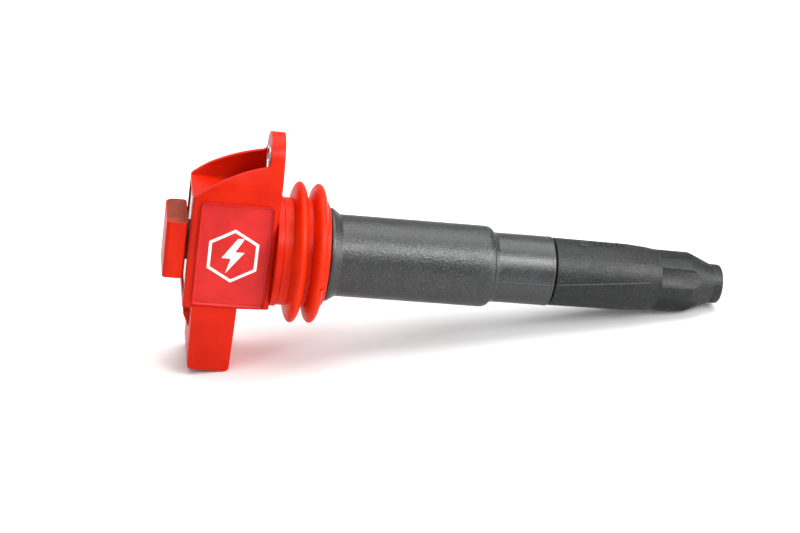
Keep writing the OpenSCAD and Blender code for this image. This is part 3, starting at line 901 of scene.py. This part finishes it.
@dataclass
class WellSeal:
    """The ribbed rubber seal between the flange and the upper sleeve.

    Attributes:
        wall_mm: inside radius.
        base_mm: outside radius between the ribs.
        rib_mm: crest radius of each rib.
        rib_at_mm: distance of each rib from the flange.
        rib_w_mm: width of a rib at its foot.
        root_mm: radius of the hollow where a rib meets the base.
        edge_mm: size of the base's edge at the flange.
        end_mm: length, fall and radius of the base's end at the sleeve.
        vent_deg: angle of the vent notch, from the near side upwards.
        vent_mm: place of the notch behind the rib's crest, its width, depth and rounding.
    """

    wall_mm: float = 14.0
    base_mm: float = 18.0
    rib_mm: Point = (23.6, 23.3)
    rib_at_mm: Point = (5.6, 12.0)
    rib_w_mm: float = 4.5
    root_mm: float = 0.5
    edge_mm: float = 0.3
    end_mm: Point3 = (1.3, 0.1, 1.0)
    vent_deg: float = -8.0
    vent_mm: tuple[float, float, float, float] = (0.35, 1.2, 1.4, 0.25)

    def outline(self) -> Wall:
        """Outline of the seal: base, two round ribs with soft roots, and a rounded end.

        Returns:
            The outline's points.
        """
        low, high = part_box("well_seal")
        base, wall, edge = mm(self.base_mm, self.wall_mm, self.edge_mm)
        points: Wall = [(low.x, wall), (low.x, base - edge), (low.x + edge, base)]
        for crest, at in zip(self.rib_mm, self.rib_at_mm):
            middle = low.x + at * MM
            half = self.rib_w_mm / 2 * MM
            for k in range(25):
                t = math.pi * (1 - k / 24)
                rise = math.sin(t) ** 0.92
                foot = 1 + self.root_mm / self.rib_w_mm * (1 - math.sin(t)) ** 6
                points.append((
                    middle + half * foot * math.cos(t), base + (crest * MM - base) * rise))
        long, fall, bend = mm(*self.end_mm)
        return points + round_corners(
            [(high.x - long, base - fall), (high.x, base - edge), (high.x, wall)],
            [0.0, bend, 0.0], 6)

    def build(self) -> Piece:
        """Turns the seal and cuts the vent notch in its second rib.

        Returns:
            The seal.
        """
        low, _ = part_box("well_seal")
        seal = spin_outline("well_seal_rubber", self.outline(), 144)
        behind, width, above, rounding = mm(*self.vent_mm)
        rib_x = low.x + self.rib_at_mm[1] * MM
        beyond = -(self.rib_mm[1] + 2.0) * MM
        cutter = block(
            "vent_cutter", Vector((rib_x + behind, beyond, -width / 2)),
            Vector((rib_x + 6 * MM, -self.base_mm * MM - above, width / 2)), rounding)
        cutter.data.transform(turned(-self.vent_deg, "X"))
        carve(seal, cutter)
        smooth(seal, 40.0)
        return dress(seal, SEAL, "seal_rubber", "well_seal")


# ---- Stem: the two sleeves and the windings inside them ----


@dataclass
class Stem:
    """The grey sleeves and the wound parts inside.

    Attributes:
        collar_mm: radius of the collar behind the seal.
        collar_at_mm: where the collar starts behind the seal, its length, and where its cone ends.
        upper_mm: outside radius of the upper sleeve.
        lower_mm: outside radius of the lower sleeve.
        bore_mm: bore radius of the upper sleeve.
        shank_mm: outside radius of the shank inside the seal.
        skirt_mm: wall of the lower sleeve, and of its root inside the upper one.
        web_mm: place and thickness of the lower sleeve's web.
        tower_mm: outside and bore radius of the high-voltage tower.
        tower_back_mm: from the tower's end to the lower sleeve's end.
        stud_mm: radius of the hole through the web.
        ring_mm: width of the ring on the lower sleeve that the shoulder ends against.
        ring_out_mm: height and length of that ring's fillet.
        seat_mm: depth of the seat for the lower sleeve's root, and its wall.
        shoulder_mm: length and fall of the upper sleeve's round shoulder.
        lip_mm: places of the lip at the lower sleeve's end, and its height.
        parting_deg: place of the mould's parting line, from the near side upwards.
        wire_mm: wire spacing of the primary winding, drawn twice as coarse as the real one.
        layer_mm: thickness of the primary winding.
    """

    collar_mm: float = 15.7
    collar_at_mm: Point3 = (0.3, 1.2, 4.0)
    upper_mm: float = 13.75
    lower_mm: float = 11.8
    bore_mm: float = 11.2
    shank_mm: float = 12.4
    skirt_mm: Point = (1.5, 1.1)
    web_mm: Point = (3.0, 1.2)
    tower_mm: Point = (5.4, 3.0)
    tower_back_mm: float = 2.6
    stud_mm: float = 1.65
    ring_mm: float = 1.5
    ring_out_mm: Point = (0.6, 1.3)
    seat_mm: Point = (5.2, 1.0)
    shoulder_mm: Point = (3.0, 1.35)
    lip_mm: Point3 = (1.1, 0.9, 0.04)
    parting_deg: float = -1.0
    wire_mm: float = 0.7
    layer_mm: float = 0.9

    def upper(self) -> Piece:
        """The upper sleeve: shank, collar, long plain length and round shoulder.

        Returns:
            The upper sleeve.
        """
        low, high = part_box("upper_sleeve")
        gap, land, cone = mm(*self.collar_at_mm)
        collar_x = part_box("well_seal")[1].x + gap
        collar, outer, bore = mm(self.collar_mm, self.upper_mm, self.bore_mm)
        shank = self.shank_mm * MM
        start = round_corners(
            [(low.x, bore), (low.x, shank), (collar_x, shank), (collar_x, collar),
             (collar_x + land, collar), (collar_x + cone, outer), (high.x - 9.0 * MM, outer)],
            [0, 0.3 * MM, 0, 0.6 * MM, 1.4 * MM, 0.5 * MM, 0], 8)
        end = high.x - self.ring_mm * MM
        long, fall = mm(*self.shoulder_mm)
        turns = [math.radians(t) for t in range(0, 91, 6)]
        shoulder = [
            (end - long + long * math.sin(t), outer - fall + fall * math.cos(t)) for t in turns]
        seat_x = high.x - self.seat_mm[0] * MM
        step = (self.lower_mm - self.seat_mm[1]) * MM
        outline = start + shoulder + [(end, step), (seat_x, step), (seat_x, bore)]
        sleeve = spin_outline("upper_sleeve_moulding", outline, 144)
        smooth(sleeve, 35.0)
        return dress(sleeve, UPPER_SLEEVE, "upper_sleeve_grey", "upper_sleeve")

    def lower(self) -> Piece:
        """The lower sleeve with its web and the high-voltage tower.

        Returns:
            The lower sleeve.
        """
        low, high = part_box("lower_sleeve")
        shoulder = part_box("upper_sleeve")[1].x - self.ring_mm * MM + 0.01 * MM
        outer = self.lower_mm * MM
        skirt, root = ((self.lower_mm - wall) * MM for wall in self.skirt_mm)
        tower, bore = mm(*self.tower_mm)
        web, back = low.x + self.web_mm[0] * MM, low.x + (self.web_mm[0] + self.web_mm[1]) * MM
        tower_end = high.x - self.tower_back_mm * MM
        stud = self.stud_mm * MM
        rise, run = mm(*self.ring_out_mm)
        foot, crest, lip = mm(*self.lip_mm)
        outline = round_corners(
            [(low.x, stud), (low.x, root), (shoulder, root), (shoulder, outer + rise),
             (shoulder + run, outer), (high.x - foot, outer), (high.x - crest, outer + lip),
             (high.x, outer + lip), (high.x, skirt), (web, skirt), (web, tower),
             (tower_end, tower), (tower_end, bore), (back, bore), (back, stud)],
            [0, 0.4 * MM, 0, 0.15 * MM, 0.5 * MM, 0.1 * MM, 0.1 * MM, 0.35 * MM,
             0.2 * MM, 0.5 * MM, 0.5 * MM, 0.4 * MM, 0.2 * MM, 0, 0], 6)
        sleeve = spin_outline("lower_sleeve_moulding", outline, 144)
        parting_line("lower_sleeve_parting_line", [
            (shoulder + 1.2 * MM, outer, self.parting_deg),
            (high.x - 1.0 * MM, outer, self.parting_deg)], "lower_sleeve_grey")
        smooth(sleeve, 35.0)
        return dress(sleeve, LOWER_SLEEVE, "lower_sleeve_grey", "lower_sleeve")

    def primary(self) -> Piece:
        """The primary winding, with its layer of wire turns as ripples.

        Returns:
            The winding.
        """
        low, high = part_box("primary_winding")
        outer, inner = high.z, high.z - self.layer_mm * MM
        turns = round((high.x - low.x) / (self.wire_mm * MM))
        pitch = (high.x - low.x) / turns
        outline: Wall = [(low.x, inner)]
        for i in range(turns):
            for k in range(4):
                t = k / 4
                depth = 0.16 * self.wire_mm * MM * (1 - math.sin(math.pi * (t or 0.02)))
                outline.append((low.x + (i + t) * pitch, outer - depth))
        outline += [(high.x, outer - 0.1 * MM), (high.x, inner)]
        winding = spin_outline("primary_wire_layer", outline, 64)
        smooth(winding, 60.0)
        return dress(winding, COPPER, "winding_copper", "primary_winding")

    def build(self) -> None:
        """Builds the sleeves and the primary winding."""
        self.upper()
        self.lower()
        self.primary()


# ---- Boot ----


@dataclass
class Boot:
    """The rubber boot that grips the spark plug.

    Attributes:
        plain_mm: outside radius at the sleeve, in the middle, and at the end of the plain length.
        plain_len_mm: length of the plain part.
        flute_r_mm: outside radius of the fluted part.
        flute_len_mm: length of the fluted part.
        flutes: number of flutes.
        flute_deep_mm: depth of a flute.
        flute_cut_mm: radius of the round tool that a flute is cut with.
        flute_turn_deg: place of the first flute, from the near side upwards.
        cone_len_mm: length of the cone behind the lip.
        lip_mm: outside radius of the lip.
        root_mm: outside and bore radius of the root inside the sleeve.
        plug_mm: bore radius for the plug's insulator, and its depth.
        cavity_mm: radius of the contact's cavity.
        channel_mm: radius of the spring's channel.
        ledge_mm: from the cavity's end to the contact cap.
        pad_mm: place of the oval pad along the boot, its sideways place and its depth.
        pad_half_mm: half sizes of the pad.
        bars_mm: place along the boot and half width of each raised bar.
        bar_mm: half thickness of a bar, its depth, height and rounding.
        parting_deg: place of the parting line at the sleeve and at the flutes.
    """

    plain_mm: Point3 = (11.55, 11.33, 10.8)
    plain_len_mm: float = 36.0
    flute_r_mm: float = 10.3
    flute_len_mm: float = 12.2
    flutes: int = 6
    flute_deep_mm: float = 1.5
    flute_cut_mm: float = 7.0
    flute_turn_deg: float = 27.0
    cone_len_mm: float = 8.2
    lip_mm: float = 6.7
    root_mm: Point = (10.2, 5.5)
    plug_mm: Point = (5.2, 26.5)
    cavity_mm: float = 3.8
    channel_mm: float = 3.1
    ledge_mm: float = 6.0
    pad_mm: Point3 = (9.6, -1.2, 0.45)
    pad_half_mm: Point3 = (2.4, 1.7, 1.0)
    bars_mm: tuple[Point, ...] = (
        (14.6, 1.6), (16.6, 1.0), (18.4, 1.4), (20.4, 1.0), (22.2, 1.6), (24.2, 1.1))
    bar_mm: tuple[float, float, float, float] = (0.5, 0.6, 0.22, 0.18)
    parting_deg: Point = (-0.5, 17.0)

    @property
    def start(self) -> float:
        """Where the boot's outside starts, in metres."""
        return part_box("lower_sleeve")[1].x + BOOT_GAP_MM * MM

    def outline(self) -> Wall:
        """Outline of the boot, from its root over the lip and back through the bores.

        Returns:
            The outline's points.
        """
        low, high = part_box("boot")
        start = self.start
        tower_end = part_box("lower_sleeve")[1].x - 2.3 * MM
        flute_x = start + self.plain_len_mm * MM
        cone_x = flute_x + self.flute_len_mm * MM
        lip_x = cone_x + self.cone_len_mm * MM
        near, mid, far = mm(*self.plain_mm)
        flute, lip = self.flute_r_mm * MM, self.lip_mm * MM
        root, grip = mm(*self.root_mm)
        plug, depth = mm(*self.plug_mm)
        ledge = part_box("contact_cap")[0].x - self.ledge_mm * MM
        outside = round_corners(
            [(low.x, grip), (low.x, root), (start, root), (start, near),
             (start + 0.72 * self.plain_len_mm * MM, mid), (flute_x - 3 * MM, far),
             (flute_x, flute), (cone_x, flute - 0.15 * MM), (lip_x, lip), (high.x, lip),
             (high.x, plug + 0.45 * MM)],
            [0, 0.3 * MM, 0, 0.45 * MM, 9 * MM, 4 * MM, 1.2 * MM, 2.6 * MM, 1.4 * MM,
             1.1 * MM, 0], 7)
        cavity, channel = self.cavity_mm * MM, self.channel_mm * MM
        inside: Wall = [
            (high.x - 0.6 * MM, plug), (high.x - depth, plug), (high.x - depth, cavity),
            (ledge, cavity), (ledge, channel), (tower_end, channel), (tower_end, grip)]
        return refine(outside, 0.8 * MM)[:-1] + inside

    def flute(self, boot: Piece) -> None:
        """Cuts the flutes out of the outside of the boot.

        Args:
            boot: the turned boot that is cut.
        """
        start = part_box("lower_sleeve")[1].x + (BOOT_GAP_MM + self.plain_len_mm + 1.0) * MM
        end = start + (self.flute_len_mm + self.cone_len_mm + 7.0) * MM
        out = (self.flute_r_mm - self.flute_deep_mm + self.flute_cut_mm) * MM
        tools = []
        for i in range(self.flutes):
            deselect()
            bpy.ops.mesh.primitive_cylinder_add(
                vertices=96, radius=self.flute_cut_mm * MM, depth=end - start)
            tool = bpy.context.object
            apply_modifier(tool, "BEVEL", width=0.35 * MM, segments=3, limit_method="ANGLE")
            lift = math.radians(360.0 / self.flutes * i + self.flute_turn_deg)
            place = Vector(((start + end) / 2, -out * math.cos(lift), out * math.sin(lift)))
            tool.data.transform(Matrix.Translation(place) @ turned(90.0, "Y"))
            tools.append(tool)
        carve(boot, join(tools))
        close_up(boot)

    def raised_marks(self) -> Piece:
        """A small oval pad and a row of plain bars, moulded on the top of the boot.

        Returns:
            The pad and the bars, as one piece.
        """
        near, mid, _ = self.plain_mm
        start, top = self.start, near * MM
        deselect()
        bpy.ops.mesh.primitive_uv_sphere_add(segments=32, ring_count=16, radius=1.0)
        pad = bpy.context.object
        pad.name = "boot_raised_marks"
        along, aside, sink = mm(*self.pad_mm)
        pad.data.transform(
            Matrix.Translation((start + along, aside, top - sink))
            @ Matrix.Diagonal((*mm(*self.pad_half_mm), 1.0)))
        thick, deep, high, rounding = self.bar_mm
        bars = []
        for at, half in self.bars_mm:
            surface = top - (near - mid) * at / 26.0 * MM
            bars.append(block(
                f"bar_{at}",
                Vector((start + (at - thick) * MM, -half * MM, surface - deep * MM)),
                Vector((start + (at + thick) * MM, half * MM, surface + high * MM)),
                rounding * MM))
        join([pad, *bars])
        smooth(pad, 60.0)
        return dress(pad, BOOT, "boot_rubber")

    def parting_path(self) -> list[Point3]:
        """Path of the parting line, which winds a little because the rubber is twisted.

        Returns:
            Distance along the axis, radius and angle of each point.
        """
        first, last = self.parting_deg
        near, mid, far = self.plain_mm
        marks = [(0.4, near), (0.36 * self.plain_len_mm, (near + mid) / 2 + 0.02),
                 (0.68 * self.plain_len_mm, mid), (0.76 * self.plain_len_mm, mid - 0.09),
                 (self.plain_len_mm - 3.2, far + 0.02)]
        return [
            (self.start + at * MM, radius * MM,
             first + (last - first) * at / self.plain_len_mm)
            for at, radius in marks]

    def build(self) -> None:
        """Builds the boot and its raised marks."""
        boot = spin_outline("boot_rubber_moulding", self.outline(), 180)
        self.flute(boot)
        parting_line("boot_parting_line", self.parting_path(), "boot_rubber")
        smooth(boot, 40.0)
        dress(boot, BOOT, "boot_rubber", "boot")
        self.raised_marks()


# ---- Contact ----


@dataclass
class Contact:
    """The spring and the cap that touch the plug's terminal.

    Attributes:
        wire_mm: diameter of the spring's wire.
        turns: number of turns.
        travel_mm: how far a plug pushes the cap in; not used.
        taper_mm: length and fall of the cap's tapered end.
        dish_mm: radius and depth of the dish in its face.
    """

    wire_mm: float = 0.8
    turns: int = 14
    travel_mm: float = 5.0
    taper_mm: Point = (1.4, 0.4)
    dish_mm: Point = (1.6, 0.5)

    def spring(self) -> Piece:
        """The coiled spring, at its length in the CAD.

        Returns:
            The spring.
        """
        low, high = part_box("contact_spring")
        wire = self.wire_mm * MM
        radius = (high.z - low.z) / 2 - wire / 2
        length = high.x - low.x
        deselect()
        bpy.ops.mesh.primitive_circle_add(vertices=12, radius=wire / 2, fill_type="NOTHING")
        spring = bpy.context.object
        spring.name = "contact_spring_wire"
        spring.data.transform(Matrix.Translation((radius, 0.0, 0.0)) @ turned(90.0, "X"))
        apply_modifier(
            spring, "SCREW", axis="Z", angle=2 * math.pi, iterations=self.turns,
            screw_offset=(length - wire) / self.turns, steps=32, render_steps=32,
            use_merge_vertices=True)
        spring.data.transform(
            Matrix.Translation((low.x + wire / 2, 0.0, 0.0)) @ turned(90.0, "Y"))
        edit(spring, "EDGE")
        bpy.ops.mesh.fill_holes(sides=24)
        leave_edit()
        close_up(spring)
        smooth(spring, 60.0)
        dress(spring, SPRING, "spring_steel", "contact_spring")
        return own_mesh(spring)

    def cap(self) -> Piece:
        """The turned brass cap with a dished face.

        Returns:
            The cap.
        """
        low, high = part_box("contact_cap")
        radius = high.z
        taper, fall = mm(*self.taper_mm)
        dish, depth = mm(*self.dish_mm)
        outline = round_corners(
            [(low.x, 0.0), (low.x, radius), (high.x - taper, radius), (high.x, radius - fall),
             (high.x, dish), (high.x - depth, 0.0)],
            [0, 0.3 * MM, 0.4 * MM, 0.8 * MM, 0.4 * MM, 0], 4)
        cap = spin_outline("contact_cap_turning", outline, 72, closed=False)
        smooth(cap, 35.0)
        return dress(cap, CONTACT, "contact_brass", "contact_cap", body=BODY_CONTACT)

    def build(self) -> None:
        """Builds the spring and the cap."""
        self.spring()
        self.cap()


# ---- Inner pieces that keep their CAD shape ----


def finish_carried_nodes() -> None:
    """Gives each CAD node that stays its own finish."""
    for node, finish in CARRIED.items():
        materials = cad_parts[node].data.materials
        materials.clear()
        materials.append(bpy.data.materials.get(finish.name) or finish.material())
        log.info("%s: %s", node, finish.name)


CARRIED: dict[str, Finish] = {
    "head_potting": POTTING,
    # The end box's resin is darkened as painted shade.
    "end_box_resin": BOX_RESIN_AND_SHADE,
    "suppression_capacitor": CAPACITOR,
    "igniter_board": BOARD,
    "driver_transistor": CHIP,
    "control_chip": CHIP,
    "heat_spreader": SPREADER,
    "supply_links": LINK,
    "return_shield": SHIELD,
    "secondary_winding": COPPER,
    "primary_bobbin": IVORY,
    "secondary_bobbin": DARK_PPE,
    "winding_cap": IVORY,
    "core_cushion": CUSHION,
    "upper_magnet": MAGNET,
    "lower_magnet": MAGNET,
    "core": CORE,
    "hv_terminal": TERMINAL,
    "suppression_resistor": CERAMIC,
    "resistor_caps": BUSHING,
}


# ---- Studio ----


@dataclass
class Studio:
    """Bench, light and camera.

    Attributes:
        camera_mm: place of the camera in the frame.
        pan_deg: turn of the camera about Z, from looking along +Y.
        tilt_deg: angle that the camera looks down.
        roll_deg: roll of the camera.
        lens_mm: focal length.
        sensor_mm: width of the sensor.
        socket_mm: place of the socket's lower corner along the axis.
        rest_mm: place of the boot's belly before its end, and its radius there.
        middle_mm: place along the axis of the coil's middle, which the lamps shine at.
    """

    camera_mm: Point3 = (-73.2, -621.1, 262.6)
    pan_deg: float = 10.664
    tilt_deg: float = 22.752
    roll_deg: float = 8.467
    lens_mm: float = 91.6
    sensor_mm: float = 36.0
    socket_mm: float = -11.1
    rest_mm: Point = (13.4, 10.2)
    middle_mm: float = 60.0

    def rest_line(self) -> tuple[Vector, float]:
        """Where the coil rests on the bench.

        Returns:
            The socket's lower corner, and the slope of the bench towards the boot.
        """
        low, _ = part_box("head_housing")
        corner = Vector((self.socket_mm * MM, 0.0, low.z))
        before, radius = mm(*self.rest_mm)
        touch = Vector((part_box("boot")[1].x - before, 0.0, -radius))
        return corner, math.atan2(touch.z - corner.z, touch.x - corner.x)

    def bench(self) -> Piece:
        """A pale matt bench top under the coil.

        Returns:
            The bench top.
        """
        corner, slope = self.rest_line()
        along = self.middle_mm * MM
        deselect()
        bpy.ops.mesh.primitive_grid_add(x_subdivisions=2, y_subdivisions=2, size=6.0)
        top = bpy.context.object
        top.name = "bench_top"
        top.data.transform(
            Matrix.Translation(corner + Vector((along, 0.0, along * math.tan(slope))))
            @ Matrix.Rotation(-slope, 4, "Y"))
        top.data.materials.append(PAPER.material())
        return top

    def lamp(
        self, name: str, place: Point3, size: Point, power: float, gloss_only: bool = False
    ) -> None:
        """Adds a rectangular soft lamp that shines at the coil's middle.

        Args:
            name: name of the lamp.
            place: its place, in metres.
            size: its length and height, in metres.
            power: its power, in watts.
            gloss_only: whether it is seen only in reflections.
        """
        deselect()
        bpy.ops.object.light_add(type="AREA", location=place)
        lamp = bpy.context.object
        lamp.name = name
        lamp.data.shape = "RECTANGLE"
        lamp.data.size, lamp.data.size_y = size
        lamp.data.energy = power
        lamp.visible_diffuse = not gloss_only
        aim = Vector((self.middle_mm * MM, 0.0, 0.0)) - Vector(place)
        lamp.rotation_euler = aim.to_track_quat("-Z", "Y").to_euler()

    def light(self) -> None:
        """A soft lamp overhead, a front fill, two lamps for gleam only, and a white surround."""
        self.lamp("top_softbox", (0.02, 0.16, 0.85), (0.9, 0.8), 10.0)
        self.lamp("front_softbox", (0.46, -0.46, 0.50), (0.5, 0.5), 5.6)
        self.lamp("gleam_strip", (0.28, -0.53, 0.66), (0.9, 0.16), 8.5, gloss_only=True)
        self.lamp("side_card", (0.85, -0.15, 0.25), (0.5, 0.5), 6.0, gloss_only=True)
        surround = bpy.data.worlds.new("white_surround")
        surround.use_nodes = True
        background = surround.node_tree.nodes["Background"]
        background.inputs["Color"].default_value = (1.0, 1.0, 1.0, 1.0)
        background.inputs["Strength"].default_value = 0.5
        bpy.context.scene.world = surround
        bpy.context.scene.view_settings.view_transform = "Standard"

    def camera(self) -> None:
        """The camera, at the angle that the coil is shown from."""
        yaw, tilt, roll = (math.radians(v) for v in (self.pan_deg, self.tilt_deg, self.roll_deg))
        right = Vector((math.cos(yaw), -math.sin(yaw), 0.0))
        ahead = Vector((
            math.sin(yaw) * math.cos(tilt), math.cos(yaw) * math.cos(tilt), -math.sin(tilt)))
        up = right.cross(ahead)
        side = right * math.cos(roll) + up * math.sin(roll)
        top = up * math.cos(roll) - right * math.sin(roll)
        turn = Matrix((side, top, -ahead)).transposed().to_4x4()
        deselect()
        bpy.ops.object.camera_add()
        camera = bpy.context.object
        camera.name = "bench_camera"
        camera.data.lens = self.lens_mm
        camera.data.sensor_width = self.sensor_mm
        camera.matrix_world = Matrix.Translation(Vector(self.camera_mm) * MM) @ turn
        bpy.context.scene.camera = camera

    def build(self) -> None:
        """Sets up the bench, the light and the camera."""
        self.camera()
        self.light()
        self.bench()


def main() -> None:
    """Builds the coil and its studio in order."""
    logging.basicConfig(level=logging.INFO, format="%(name)s: %(message)s")
    Studio().build()
    finish_carried_nodes()
    Head().build()
    WellSeal().build()
    Stem().build()
    Boot().build()
    Contact().build()


if __name__ == "__main__":
    main()
